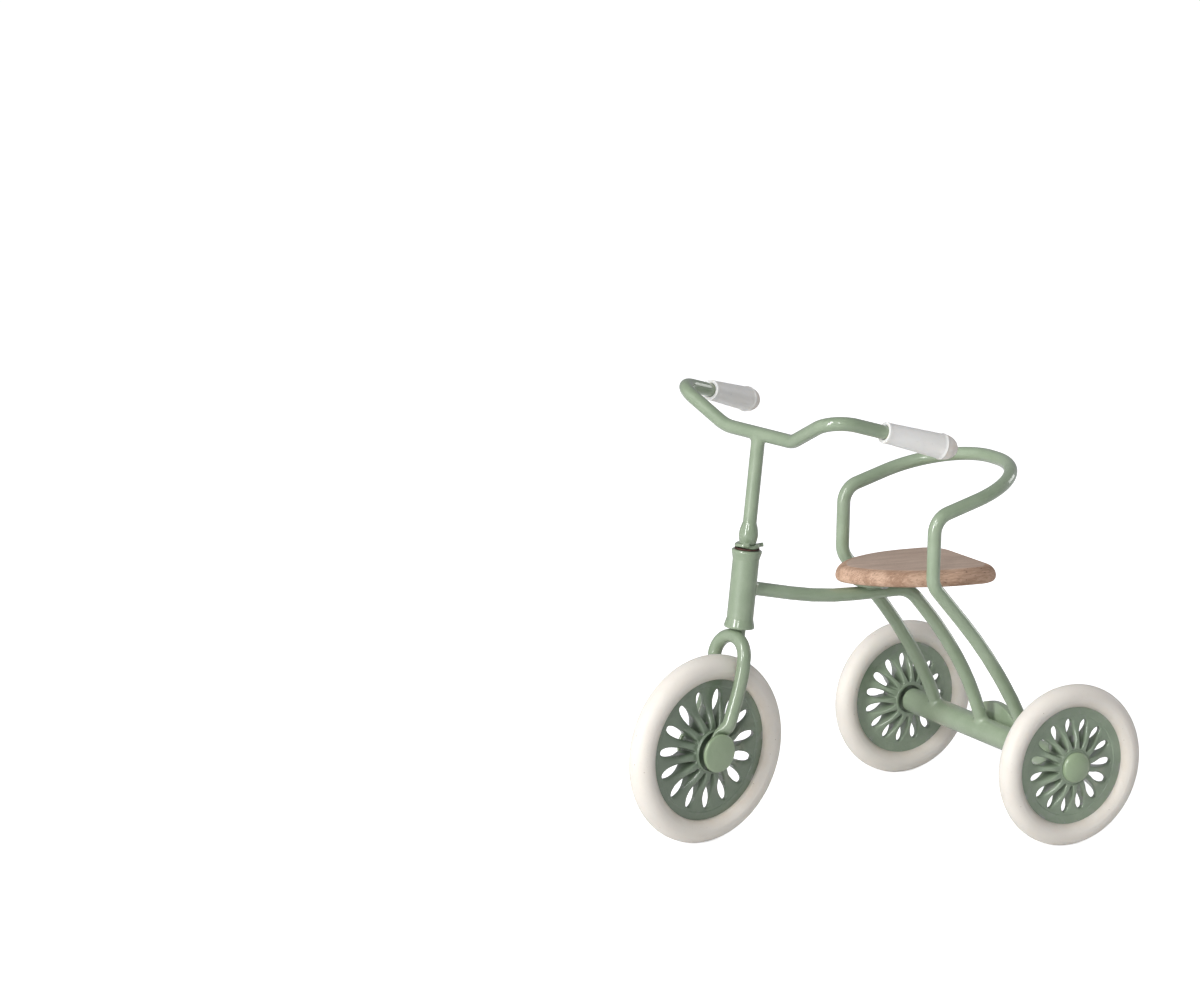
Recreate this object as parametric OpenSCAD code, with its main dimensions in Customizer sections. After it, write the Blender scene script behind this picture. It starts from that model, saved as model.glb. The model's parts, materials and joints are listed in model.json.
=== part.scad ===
/* [Rods and tubes] */
// Diameter of every bent steel rod
rod_d = 3; // [2.6:0.1:3.2]
// Outer diameter of the rear axle tube
axle_tube_d = 5.6; // [5:0.1:6]
// Outer diameter of the head tube
head_tube_d = 5.8; // [5.4:0.1:6.4]
// Length of the head tube along its axis
head_tube_l = 17.2; // [16:0.1:17.6]

/* [Rear wheels] */
// Outer diameter of a rear wheel
rear_wheel_d = 36; // [34:0.5:38]
// Diameter of a rear tyre's round section
rear_tyre_d = 5.04; // [4.6:0.02:5.4]
// Distance between the middles of the two rear tyres
track = 67.3; // [64:0.1:72]

/* [Front wheel] */
// Outer diameter of the front wheel
front_wheel_d = 41.7; // [40:0.1:43]
// Diameter of the front tyre's round section
front_tyre_d = 5.7; // [5:0.1:5.8]
// Distance from the rear axle to the front axle
wheelbase = 72.8; // [70:0.1:76]

/* [Steering] */
// Backward lean of the steering axis from the vertical, degrees
lean = 4.3; // [2:0.1:6]
// Distance of the front axle ahead of the steering axis
rake = 6; // [5:0.1:7]
// Angle that the steering is turned to the left at rest, degrees
steer_rest = 11; // [0:1:15]
// Height of the handlebar's middle above the front axle, along the steering axis
bar_h = 69; // [66:0.5:72]
// Half the distance between the tips of the two grips
grip_spread = 32.2; // [30:0.1:34]

/* [Seat] */
// Height of the top of the seat above the floor
seat_top = 58.4; // [58.2:0.1:59]
// Thickness of the seat board
seat_t = 3.5; // [3.2:0.1:3.7]
// Length of the seat board
seat_l = 35.2; // [33:0.1:36]
// Width of the seat board
seat_w = 27.4; // [26:0.1:30]

/* [Rims] */
// Number of windows in each rim
windows = 15; // [13:1:16]

/* [Hidden] */
$fn = 64;

paint = [0.60, 0.70, 0.58];
ivory = [0.93, 0.91, 0.86];
grip_white = [0.88, 0.87, 0.84];
beech = [0.78, 0.62, 0.50];
steel = [0.66, 0.66, 0.65];
rust = [0.32, 0.18, 0.13];

rod_r = rod_d / 2;
rod_sides = 16;
bend_step = 12;
fit_gap = 0.05;
cut = 0.5;

// Rear axle
rear_r = rear_wheel_d / 2;
axle_tube_r = axle_tube_d / 2;
axle_tube_half = 29.7;
pin_r = 1.2;
bore_r = pin_r + fit_gap;
mid_left = track / 2;
cap_gap = 0.1;
cap_dome = 1.3;
cap_r = 3.2;
cap_edge = 0.35;

// Rims, measured from the wheel's middle plane; outward is away from the tricycle
rear_edge_r = 13.1;
rear_web_r = 11;
rear_window_r = 10.6;
front_edge_r = 15.5;
front_web_r = 13.85;
front_window_r = 13.45;
rim_edge_t = 1.5;
rim_groove = 1.2;
hub_r = 3.95;
hub_out = 2.2;
socket_r = 3.15;
socket_in = 3.35;
socket_depth = 2;
front_hub_r = 4.8;
front_hub_half = 3;
front_cup_r = 4.3;
front_cup_depth = 1.2;
front_boss_r = 2.2;
window_start = 0.2;
window_end_r = 1.2;

// One face of a rim's web: its height at its outer edge, its height at the hub, and the radii
// between which it climbs
REAR_FACE = [0.6, 2.1, 9.8, 5];
REAR_BACK = [0.9, 3.2, rear_web_r, hub_r];
FRONT_FACE = [0.6, 2.4, 11.4, 5.8];
web_steps = 6;

// Front axle and steering axis: the steered frame has its origin on the steering axis, level with
// the front axle, X forward, Y to the left and Z up the axis
front_r = front_wheel_d / 2;
tilt_z = sin(steer_rest) * sin(lean);
front_z = (front_r - front_tyre_d / 2) * sqrt(1 - tilt_z * tilt_z) + front_tyre_d / 2;
axis_z = front_z - rake * sin(lean) * cos(steer_rest);
axis_x = wheelbase - rake * cos(lean) * cos(steer_rest);
head_w = 26.5;
head_top_w = head_w + head_tube_l;
head_flare = 0.4;
head_flare_l = 1;
eye_v = 3.6;
eye_t = 0.8;
eye_r = 3.6;
flat_w = 4.2;
front_cap_r = 4.25;
front_cap_t = 1.1;
front_cap_edge = 0.6;

// Washer and spring clip on the stem, and the swelling of the stem above them
washer_r = 2.7;
washer_t = 0.32;
washer_w = head_top_w + 0.08;
clip_t = 0.9;
clip_w = head_top_w + 0.45;
clip_r = 2.8;
clip_lug_u = 3.2;
clip_lug_w = 1.4;
clip_slot_w = 1.2;
swage = 0.5;
swage_l = 4.6;

// Fork: blades beside the tyre, joined by an arch under the head tube
saddle = 0.2;
blade_v = 4.75;
arch_w = 24.7;
arch_u = 1.4;
ankle = [3.9, 4.8];
FORK = [[rake, eye_v, 0], [ankle[0], blade_v, ankle[1]], [arch_u, blade_v, arch_w],
        [arch_u, -blade_v, arch_w], [ankle[0], -blade_v, ankle[1]], [rake, -eye_v, 0]];
FORK_BENDS = [7, blade_v - 0.01, blade_v - 0.01, 7];

// Handlebar, measured from the middle of its straight centre piece
bar_half = 10.8;
bar_top = [2.9, 25.3, 7.3];
grip_tip = [-27.5, grip_spread, 1.5];
grip_l = 18.5;
grip_r = 2.8;
grip_open_r = 2.15;
grip_end_t = 3.6;
grip_ridge = 0.15;
grip_edge = 0.3;
grip_dir = (bar_top - grip_tip) / norm(bar_top - grip_tip);
bar_end = grip_tip + grip_dir * grip_end_t;
function flip(p) = [p[0], -p[1], p[2]];
BAR = [bar_end, bar_top, [0, bar_half, 0], [0, -bar_half, 0], flip(bar_top), flip(bar_end)];
BAR_BENDS = [6, 5.3, 5.3, 6];

// Main tube, in the middle plane, from the head tube to the axle tube
MAIN = [[wheelbase - 7.5, 0, 56], [44, 0, 51.9], [21.8, 0, 52.25], [12.4, 0, 42.1], [4.2, 0, 29.5],
        [0.3, 0, rear_r + axle_tube_r - 0.8]];
MAIN_BENDS = [80, 5, 40, 25];

// Seat loop: legs, uprights and backrest, bent from one rod
loop_v = 18.6;
upright_x = 27.9;
back_x = 0.7;
back_r = 17.6;
back_slope = 0.315;
loop_z = 71.7;
back_z = loop_z + back_slope * (upright_x - back_x);
LOOP_SIDE = [[0.5, loop_v, rear_r + axle_tube_r - 0.8], [3.9, loop_v, 27.4], [14.1, loop_v, 42.3],
             [27.7, loop_v, 57], [upright_x, loop_v, loop_z], [back_x, loop_v, back_z]];
LOOP_BENDS = [20, 60, 5, 4.5, back_r];

// Seat board and the plate under it
seat_rear_x = 5;
seat_wide_x = 15;
seat_corner = 6;
seat_taper = 0.62;
seat_round = 2.6;
seat_under = 1;
plate_t = 1.1;
plate_w = 8;
plate_x = [13, 35.8];
screw_x = [18, 30];
screw_r = 0.6;
screw_head_r = 1.1;
screw_head_t = 0.6;
screw_head_edge = 0.15;
screw_l = 2.6;
screw_v = 2.6;
plate_z = seat_top - seat_t - plate_t;

// Half-round plate behind the axle tube
back_plate_r = 12.5;
back_plate_top = 24;
back_plate_t = 0.7;
back_plate_lip = 1.1;
back_plate_in = 0.2;

// The whole object's box, which puts the origin at the middle of its base
function spin_w(p) = [p[0] * cos(steer_rest) - p[1] * sin(steer_rest),
                      p[0] * sin(steer_rest) + p[1] * cos(steer_rest), p[2]];
function reach(n, ring_r, tube_r) = ring_r * sqrt(1 - n * n) + tube_r;
front_turn = sin(steer_rest) * cos(lean);
x_front = wheelbase + reach(front_turn, front_r - front_tyre_d / 2, front_tyre_d / 2);
y_left = mid_left + hub_out + cap_gap + cap_dome;
grip_turn = spin_w(flip(grip_dir))[1];
y_right = spin_w(flip(grip_tip))[1] + grip_end_t * grip_turn
        - norm([grip_end_t * grip_turn, grip_r * sqrt(1 - grip_turn * grip_turn)]);
shift_x = (x_front - rear_r) / 2;
shift_y = (y_left + y_right) / 2;

// ---------------------------------------------------------------- paths and placing

function unit(v) = v / norm(v);

// An arc of radius r that rounds the corner p between p0 and p1
function corner(p0, p, p1, r) =
    let (a = unit(p0 - p),
         b = unit(p1 - p),
         half = acos(a * b) / 2,
         centre = p + unit(a + b) * r / sin(half),
         start = p + a * r / tan(half) - centre,
         stop = p + b * r / tan(half) - centre,
         turn = 180 - 2 * half,
         n = max(2, ceil(turn / bend_step)))
    [for (k = [0:n]) centre + (sin((1 - k / n) * turn) * start + sin(k / n * turn) * stop) / sin(turn)];

function bent(p, r) =
    concat([p[0]],
           [for (i = [1:len(p) - 2]) each corner(p[i - 1], p[i], p[i + 1], r[i - 1])],
           [p[len(p) - 1]]);

function tangents(p) =
    let (last = len(p) - 1)
    [for (i = [0:last])
        unit((i < last ? unit(p[i + 1] - p[i]) : [0, 0, 0]) + (i > 0 ? unit(p[i] - p[i - 1]) : [0, 0, 0]))];

function across(n, t) = unit(n - (n * t) * t);

// A round rod along the path p; side is any direction that the path's first piece doesn't follow
module rod(p, side) {
    t = tangents(p);
    last = len(p) - 1;
    normals = [for (i = 0, n = across(side, t[0]);
                    i <= last;
                    i = i + 1, n = i <= last ? across(n, t[i]) : n) n];
    points = [for (i = [0:last], k = [0:rod_sides - 1])
        let (a = 360 * k / rod_sides)
        p[i] + rod_r * (cos(a) * normals[i] + sin(a) * cross(t[i], normals[i]))];
    faces = concat(
        [[for (k = [0:rod_sides - 1]) k]],
        [for (i = [0:last - 1], k = [0:rod_sides - 1])
            let (a = i * rod_sides + k, b = i * rod_sides + (k + 1) % rod_sides)
            each [[a, a + rod_sides, b], [b, a + rod_sides, b + rod_sides]]],
        [[for (k = [rod_sides - 1:-1:0]) last * rod_sides + k]]);
    polyhedron(points, faces);
}

// Moves the model so that its origin is the middle of its base
module placed() {
    translate([-shift_x, -shift_y, 0]) children();
}

// The steering frame when the wheel points straight ahead
module steered_straight() {
    translate([axis_x, 0, axis_z]) rotate([0, -lean, 0]) children();
}

module steered() {
    steered_straight() rotate([0, 0, steer_rest]) children();
}

module mirrored_y(left) {
    mirror([0, left ? 0 : 1, 0]) children();
}

// Turns a shape that stands along Z so that it lies along Y, outward to the left
module along_y() {
    rotate([-90, 0, 0]) children();
}

// Moves a shape that stands along Z so that it points from p towards q
module towards(p, q) {
    d = unit(q - p);
    translate(p) rotate([0, acos(d[2]), atan2(d[1], d[0])]) children();
}

module axle_tube_solid() {
    translate([0, 0, rear_r]) along_y() cylinder(r = axle_tube_r, h = 2 * axle_tube_half, center = true);
}

// ---------------------------------------------------------------- frame

module head_tube() {
    color(paint) placed() steered_straight() difference() {
        rotate_extrude() polygon([
            [0, head_w], [head_tube_d / 2 + head_flare, head_w],
            [head_tube_d / 2 + head_flare, head_w + head_flare_l / 2],
            [head_tube_d / 2, head_w + 2 * head_flare_l],
            [head_tube_d / 2, head_top_w - 2 * head_flare_l],
            [head_tube_d / 2 + head_flare, head_top_w - head_flare_l / 2],
            [head_tube_d / 2 + head_flare, head_top_w], [0, head_top_w]]);
        translate([0, 0, head_w - cut]) cylinder(r = rod_r + fit_gap, h = head_tube_l + 2 * cut);
    }
}

module main_tube() {
    color(paint) placed() difference() {
        rod(bent(MAIN, MAIN_BENDS), [0, 1, 0]);
        steered_straight() translate([0, 0, head_w]) cylinder(d = head_tube_d, h = head_tube_l);
        axle_tube_solid();
    }
}

module seat_loop() {
    path = concat(LOOP_SIDE, [for (i = [len(LOOP_SIDE) - 1:-1:0]) flip(LOOP_SIDE[i])]);
    bends = concat(LOOP_BENDS, [for (i = [len(LOOP_BENDS) - 1:-1:0]) LOOP_BENDS[i]]);
    color(paint) placed() difference() {
        rod(bent(path, bends), [0, 1, 0]);
        axle_tube_solid();
    }
}

module rear_axle_tube() {
    color(paint) placed() difference() {
        axle_tube_solid();
        translate([0, 0, rear_r]) along_y()
            cylinder(r = bore_r, h = 2 * axle_tube_half + 2 * cut, center = true);
    }
}

// An arched plate, standing behind the axle tube, with a lip turned to the rear
module rear_plate() {
    centre = [0, 0, back_plate_top - back_plate_r];
    color(paint) placed() difference() {
        translate(centre) rotate([0, -90, 0]) cylinder(r = back_plate_r, h = axle_tube_r + back_plate_lip);
        translate(centre) translate([back_plate_in - axle_tube_r - back_plate_t, 0, 0]) rotate([0, -90, 0])
            cylinder(r = back_plate_r - back_plate_t, h = back_plate_lip + cut);
        translate([back_plate_in - axle_tube_r, -back_plate_r, 0])
            cube([axle_tube_r + cut, 2 * back_plate_r, 2 * rear_r]);
        translate([-2 * axle_tube_r, -back_plate_r - cut, -back_plate_r])
            cube([4 * axle_tube_r, 2 * (back_plate_r + cut), back_plate_r + rear_r]);
        axle_tube_solid();
    }
}

module rear_axle_pin() {
    color(steel) placed() translate([0, 0, rear_r]) along_y()
        cylinder(r = pin_r, h = 2 * (mid_left + hub_out + cap_gap + cap_dome / 2), center = true);
}

// A push-on cap: a flat-backed dome with a blind hole for the end of a pin
module cap(r, edge, dome, hole_depth) {
    difference() {
        rotate_extrude() polygon(concat([[0, 0], [r, 0]],
            [for (a = [0:15:90]) [r * cos(a), edge + (dome - edge) * sin(a)]]));
        translate([0, 0, -cut]) cylinder(r = pin_r, h = hole_depth + cut);
    }
}

module rear_cap(left) {
    color(paint) placed() mirrored_y(left) translate([0, mid_left + hub_out + cap_gap, rear_r]) along_y()
        cap(cap_r, cap_edge, cap_dome, cap_dome / 2);
}

// ---------------------------------------------------------------- seat

// Half of the seat's outline: straight rear edge, round corner, then a curve that narrows to the front tip
function seat_half(inset) =
    let (w = seat_w / 2 - inset,
         c = seat_corner - inset,
         front = seat_rear_x + seat_l - inset)
    concat([for (a = [180:-15:90]) [seat_rear_x + inset + c + c * cos(a), w - c + c * sin(a)]],
           [for (k = [0:12])
               let (s = (front - seat_wide_x) * sin(90 * k / 12))
               [seat_wide_x + s, w * pow(max(0, 1 - pow(s / (front - seat_wide_x), 2)), seat_taper)]]);

function seat_outline(inset) =
    let (h = seat_half(inset), last = len(h) - 1)
    concat(h, [for (i = [last - 1:-1:0]) [h[i][0], -h[i][1]]]);

// The rounding of the upper edge is broad, and that of the lower edge is slight
module seat_board() {
    z0 = seat_top - seat_t;
    rings = concat([[seat_under, 0], [seat_under / 4, seat_under / 2], [0, seat_under]],
        [for (a = [15:15:90]) [seat_round * (1 - cos(a)), seat_under + (seat_t - seat_under) * sin(a)]]);
    n = len(seat_outline(0));
    last = len(rings) - 1;
    points = [for (ring = rings) each [for (p = seat_outline(ring[0])) [p[0], p[1], z0 + ring[1]]]];
    faces = concat(
        [[for (k = [n - 1:-1:0]) k]],
        [for (i = [0:last - 1], k = [0:n - 1])
            let (a = i * n + k, b = i * n + (k + 1) % n)
            each [[a, b, a + n], [b, b + n, a + n]]],
        [[for (k = [0:n - 1]) last * n + k]]);
    color(beech) placed() difference() {
        polyhedron(points, faces);
        for (x = screw_x) translate([x, screw_v, z0 - cut]) cylinder(r = screw_r, h = cut + screw_l);
    }
}

module seat_plate() {
    r = plate_w / 2;
    color(paint) placed() difference() {
        translate([0, 0, plate_z]) union() {
            translate([plate_x[0] + r, -r, 0]) cube([plate_x[1] - plate_x[0] - 2 * r, plate_w, plate_t]);
            for (x = [plate_x[0] + r, plate_x[1] - r]) translate([x, 0, 0]) cylinder(r = r, h = plate_t);
        }
        for (x = screw_x) translate([x, screw_v, plate_z - cut])
            cylinder(r = screw_r, h = plate_t + 2 * cut);
    }
}

// Two wood screws with round heads, up through the plate into the board, beside the main tube
module seat_screws() {
    tip = plate_t + screw_l;
    profile = concat(
        [[0, tip], [screw_r / 3, tip], [screw_r, tip - screw_r], [screw_r, 0], [screw_head_r, 0]],
        [for (a = [0:15:90])
            [screw_head_r * cos(a), -screw_head_edge - (screw_head_t - screw_head_edge) * sin(a)]]);
    color(steel) placed() for (x = screw_x) translate([x, screw_v, plate_z])
        rotate_extrude() polygon(profile);
}

// ---------------------------------------------------------------- steering

module handlebar() {
    color(paint) placed() steered() translate([0, 0, bar_h]) rod(bent(BAR, BAR_BENDS), [0, 0, 1]);
}

// The rod that runs from the handlebar through the head tube to the fork, swaged above the clip
module stem() {
    color(paint) placed() steered() difference() {
        union() {
            translate([0, 0, arch_w - saddle]) cylinder(r = rod_r, h = bar_h - arch_w);
            rotate_extrude() polygon(concat([[0, clip_w + clip_t]],
                [for (a = [0:15:180]) [rod_r + swage * sin(a), clip_w + clip_t + swage_l * a / 180]],
                [[0, clip_w + clip_t + swage_l]]));
        }
        rod(bent(FORK, FORK_BENDS), [1, 0, 0]);
        translate([0, 0, bar_h]) rod(bent(BAR, BAR_BENDS), [0, 0, 1]);
    }
}

module grip(left) {
    color(grip_white) placed() steered() translate([0, 0, bar_h]) mirrored_y(left)
        towards(grip_tip, bar_top) difference() {
            rotate_extrude() polygon(concat([[0, 0]],
                [for (a = [15:15:90]) [grip_r * sin(a), grip_end_t * (1 - cos(a))]],
                [[grip_r + grip_ridge, grip_end_t + grip_edge], [grip_r, grip_end_t + 2 * grip_edge],
                 [grip_open_r, grip_l - grip_edge], [grip_open_r - grip_edge, grip_l], [0, grip_l]]));
            translate([0, 0, grip_end_t]) cylinder(r = rod_r, h = grip_l);
        }
}

module ring(r_out, r_in, h) {
    difference() {
        cylinder(r = r_out, h = h);
        translate([0, 0, -cut]) cylinder(r = r_in, h = h + 2 * cut);
    }
}

module steering_washer() {
    color(rust) placed() steered() translate([0, 0, washer_w]) ring(washer_r, rod_r, washer_t);
}

// An open spring clip: a ring with a gap to the rear and a lug on each side of the gap
module retaining_clip() {
    color(paint) placed() steered() translate([0, 0, clip_w]) difference() {
        union() {
            cylinder(r = clip_r, h = clip_t);
            for (s = [-1, 1]) translate([-clip_lug_u, (s - 1) * clip_lug_w / 2 + s * clip_slot_w / 2, 0])
                cube([clip_lug_u, clip_lug_w, clip_t]);
        }
        translate([0, 0, -cut]) cylinder(r = rod_r, h = clip_t + 2 * cut);
        translate([-clip_lug_u - cut, -clip_slot_w / 2, -cut])
            cube([clip_lug_u + cut, clip_slot_w, clip_t + 2 * cut]);
    }
}

// What is pressed away on both faces of a blade's lower end: the outer face slopes at its top
module blade_flats() {
    outer = eye_v + eye_t / 2;
    inner = eye_v - eye_t / 2;
    low = -2 * eye_r;
    top = flat_w + rod_r;
    translate([rake - 2 * eye_r, 0, 0]) rotate([90, 0, 90]) linear_extrude(height = 4 * eye_r) {
        polygon([[outer, low], [outer, flat_w], [outer + rod_d, flat_w + rod_d], [outer + rod_d, low]]);
        polygon([[inner, low], [inner, top], [inner - rod_d, top], [inner - rod_d, low]]);
    }
}

module fork() {
    color(paint) placed() steered() difference() {
        union() {
            rod(bent(FORK, FORK_BENDS), [1, 0, 0]);
            for (s = [-1, 1]) translate([rake, s * eye_v, 0]) along_y()
                cylinder(r = eye_r, h = eye_t, center = true);
        }
        for (left = [true, false]) mirrored_y(left) blade_flats();
        translate([rake, 0, 0]) along_y() cylinder(r = pin_r, h = 4 * eye_v, center = true);
    }
}

module front_axle_pin() {
    color(steel) placed() steered() translate([rake, 0, 0]) along_y()
        cylinder(r = pin_r, h = 2 * eye_v + eye_t + front_cap_t, center = true);
}

module front_cap(left) {
    color(paint) placed() steered() mirrored_y(left)
        translate([rake, eye_v + eye_t / 2, 0]) along_y()
            cap(front_cap_r, front_cap_edge, front_cap_t, front_cap_t / 2);
}

// ---------------------------------------------------------------- wheels, standing along Z

// A teardrop with its point towards the hub and its round end at radius out_r
module window(tip_r, out_r) {
    c = out_r - window_end_r;
    lean_a = asin(window_end_r / (c - tip_r));
    linear_extrude(height = 12, center = true) polygon(concat([[tip_r, 0]],
        [for (k = [0:8]) let (a = 90 + lean_a - k * (180 + 2 * lean_a) / 8)
            [c + window_end_r * cos(a), window_end_r * sin(a)]]));
}

// The outline of one face of the web, from its outer edge to the hub: a slope that eases at both ends
function web_face(f, from_r, to_r) =
    [for (k = [0:web_steps])
        let (r = from_r + (to_r - from_r) * k / web_steps,
             t = min(1, max(0, (f[2] - r) / (f[2] - f[3]))))
        [r, f[0] + (f[1] - f[0]) * t * t * (3 - 2 * t)]];

// first_window is the angle of the first window, as a share of the angle between two windows
module rim(edge_r, web_r, window_r, hub_r, out_h, in_h, face, back, first_window) {
    e = rim_edge_t / 2;
    outer = web_face(face, web_r, hub_r);
    inner = web_face(back, web_r, hub_r);
    difference() {
        rotate_extrude() polygon(concat(
            [[bore_r, -in_h], [hub_r, -in_h]],
            [for (k = [web_steps:-1:0]) [inner[k][0], -inner[k][1]]],
            [[web_r, -e], [edge_r + rim_groove, -e], [edge_r + rim_groove, e], [web_r, e]],
            outer,
            [[hub_r, out_h], [bore_r, out_h]]));
        for (i = [0:windows - 1]) rotate([0, 0, 360 * (i + first_window) / windows])
            window(hub_r + window_start, window_r);
    }
}

module tyre(wheel_r, section_d, edge_r) {
    difference() {
        rotate_extrude() translate([wheel_r - section_d / 2, 0]) circle(d = section_d);
        difference() {
            cylinder(r = edge_r + rim_groove, h = rim_edge_t, center = true);
            cylinder(r = edge_r - 1, h = rim_edge_t + 2 * cut, center = true);
        }
    }
}

module rear_rim(left) {
    color(paint) placed() mirrored_y(left) translate([0, mid_left, rear_r]) along_y() difference() {
        rim(rear_edge_r, rear_web_r, rear_window_r, hub_r, hub_out, socket_in,
            REAR_FACE, REAR_BACK, 0.5);
        translate([0, 0, -socket_in - cut]) cylinder(r = socket_r, h = socket_depth + cut);
    }
}

module rear_tyre(left) {
    color(ivory) placed() mirrored_y(left) translate([0, mid_left, rear_r]) along_y()
        tyre(rear_r, rear_tyre_d, rear_edge_r);
}

module front_rim() {
    color(paint) placed() steered() translate([rake, 0, 0]) along_y() difference() {
        rim(front_edge_r, front_web_r, front_window_r, front_hub_r, front_hub_half, front_hub_half,
            FRONT_FACE, FRONT_FACE, 0);
        for (s = [-1, 1]) translate([0, 0, s * front_hub_half]) difference() {
            cylinder(r = front_cup_r, h = 2 * front_cup_depth, center = true);
            cylinder(r = front_boss_r, h = 4 * front_cup_depth, center = true);
        }
    }
}

module front_tyre() {
    color(ivory) placed() steered() translate([rake, 0, 0]) along_y()
        tyre(front_r, front_tyre_d, front_edge_r);
}

head_tube();
main_tube();
seat_loop();
seat_plate();
seat_board();
seat_screws();
rear_axle_tube();
rear_plate();
rear_axle_pin();
rear_cap(true);  // rear_cap_left
rear_cap(false);  // rear_cap_right
stem();
handlebar();
grip(true);  // grip_left
grip(false);  // grip_right
steering_washer();
retaining_clip();
fork();
front_axle_pin();
front_cap(true);  // front_cap_left
front_cap(false);  // front_cap_right
front_rim();
front_tyre();
rear_rim(true);  // rear_rim_left
rear_tyre(true);  // rear_tyre_left
rear_rim(false);  // rear_rim_right
rear_tyre(false);  // rear_tyre_right
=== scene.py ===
"""Looks for the small metal tricycle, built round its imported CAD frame."""
import json
import math

import bmesh
import bpy
import numpy as np
from mathutils import Matrix, Vector


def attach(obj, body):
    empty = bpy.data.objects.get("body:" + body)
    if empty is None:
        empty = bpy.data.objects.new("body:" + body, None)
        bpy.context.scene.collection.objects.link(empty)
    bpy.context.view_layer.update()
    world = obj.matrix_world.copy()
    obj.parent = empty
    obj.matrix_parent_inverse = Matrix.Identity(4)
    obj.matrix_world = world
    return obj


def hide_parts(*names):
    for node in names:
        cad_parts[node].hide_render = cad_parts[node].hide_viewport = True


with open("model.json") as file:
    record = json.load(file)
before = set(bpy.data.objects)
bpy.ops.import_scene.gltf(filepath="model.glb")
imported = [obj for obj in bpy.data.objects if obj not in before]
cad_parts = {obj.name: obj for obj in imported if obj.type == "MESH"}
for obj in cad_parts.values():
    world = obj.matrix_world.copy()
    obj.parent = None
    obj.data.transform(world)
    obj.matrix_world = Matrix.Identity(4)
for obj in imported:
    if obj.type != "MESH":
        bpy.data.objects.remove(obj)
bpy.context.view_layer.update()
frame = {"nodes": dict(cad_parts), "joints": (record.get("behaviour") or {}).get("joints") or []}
MM = 0.001

# ------------------------------------------------------------------ places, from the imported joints
JOINTS = {j["name"]: j for j in frame["joints"]}


def joint_at(name):
    return np.array(JOINTS[name]["pos_m"], float) / MM


def joint_axis(name):
    axis = np.array(JOINTS[name]["axis"], float)
    return axis / np.linalg.norm(axis)


REAR_L, REAR_R = joint_at("rear_wheel_left_spin"), joint_at("rear_wheel_right_spin")
FRONT = joint_at("front_wheel_spin")
X, Y, Z = np.eye(3)

# A place is an origin and three axes, one per row, in the row frame and in millimetres
middle = (REAR_L + REAR_R) / 2
BIKE = (np.array([middle[0], middle[1], 0.0]), np.array([X, Y, Z]))
steer_w = joint_axis("steering_turn")
steer_v = joint_axis("front_wheel_spin")
steer_u = np.cross(steer_v, steer_w)
STEER = (joint_at("steering_turn"), np.array([steer_u, steer_v, steer_w]))
straight_u = np.cross(Y, steer_w)
HEAD = (joint_at("steering_turn"), np.array([straight_u, Y, steer_w]))


def wheel_place(at, out, up):
    """Local Z points outward, and local X up."""
    return at, np.array([up, np.cross(out, up), out])


REAR_LEFT = wheel_place(REAR_L, Y, Z)
REAR_RIGHT = wheel_place(REAR_R, -Y, Z)
FRONT_LEFT = wheel_place(FRONT, steer_v, steer_w)
FRONT_RIGHT = wheel_place(FRONT, -steer_v, steer_w)

# ------------------------------------------------------------------ sizes, in millimetres
ROD_R = 1.5
REAR_D = 36.0
AXLE_Z = REAR_D / 2
AXLE_R = 2.8
AXLE_HALF = 29.7
TRACK_HALF = 33.65
BAR_W = 69.0
HEAD_LOW, HEAD_TOP = 26.5, 43.7
HEAD_R = 2.9
ARCH_W = 24.7
RAKE = 6.0
SEAT_TOP = 58.4
SEAT_T = 3.5


def flip(p):
    return [p[0], -p[1], p[2]]


BAR_TIP, BAR_TOP = [-27.5, 32.2, 1.5], [2.9, 25.3, 7.3]
GRIP_END = 3.6
grip_dir = np.subtract(BAR_TOP, BAR_TIP) / np.linalg.norm(np.subtract(BAR_TOP, BAR_TIP))
BAR_END = list(np.add(BAR_TIP, grip_dir * GRIP_END))
BAR = [BAR_END, BAR_TOP, [0, 10.8, 0], [0, -10.8, 0], flip(BAR_TOP), flip(BAR_END)]
BAR_BENDS = [6, 5.3, 9, 6]
MAIN = [[65.3, 0, 56], [44, 0, 51.9], [21.8, 0, 52.25], [12.4, 0, 42.1], [4.2, 0, 29.5], [0.2, 0, 19.0]]
MAIN_BENDS = [80, 7, 90, 65]
LOOP_V = 18.6
BACK_X, UPRIGHT_X, LOOP_Z = 0.7, 27.9, 71.7
BACK_Z = LOOP_Z + 0.315 * (UPRIGHT_X - BACK_X)
LOOP_SIDE = [[0.3, LOOP_V, 19.0], [3.9, LOOP_V, 27.4], [14.1, LOOP_V, 42.3], [27.7, LOOP_V, 57],
             [UPRIGHT_X, LOOP_V, LOOP_Z], [BACK_X, LOOP_V, BACK_Z]]
LOOP = LOOP_SIDE + [flip(p) for p in LOOP_SIDE[::-1]]
LOOP_BENDS = [80, 110, 5, 4.5, 17.6, 17.6, 4.5, 5, 110, 80]
EYE_V, BLADE_V = 3.6, 4.75
ARCH_U = 1.4
FORK_SIDE = [[RAKE, EYE_V, 0], [3.9, BLADE_V, 4.8], [ARCH_U, BLADE_V, ARCH_W]]

# ------------------------------------------------------------------ mesh tools


class Shape:
    """Points in millimetres, faces and a shade value per point."""

    def __init__(self):
        self.points, self.faces, self.tone = [], [], []
        self.count = 0

    def add(self, points, faces, tone=0.0):
        points = np.asarray(points, float)
        self.points.append(points)
        self.tone.append(np.broadcast_to(np.asarray(tone, float), len(points)))
        self.faces += [[i + self.count for i in face] for face in faces]
        self.count += len(points)
        return self

    def turned(self, matrix, shift=(0, 0, 0)):
        self.points = [p @ np.asarray(matrix, float).T + np.asarray(shift, float) for p in self.points]
        return self


def smooth(t):
    t = np.clip(t, 0, 1)
    return t * t * (3 - 2 * t)


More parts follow.
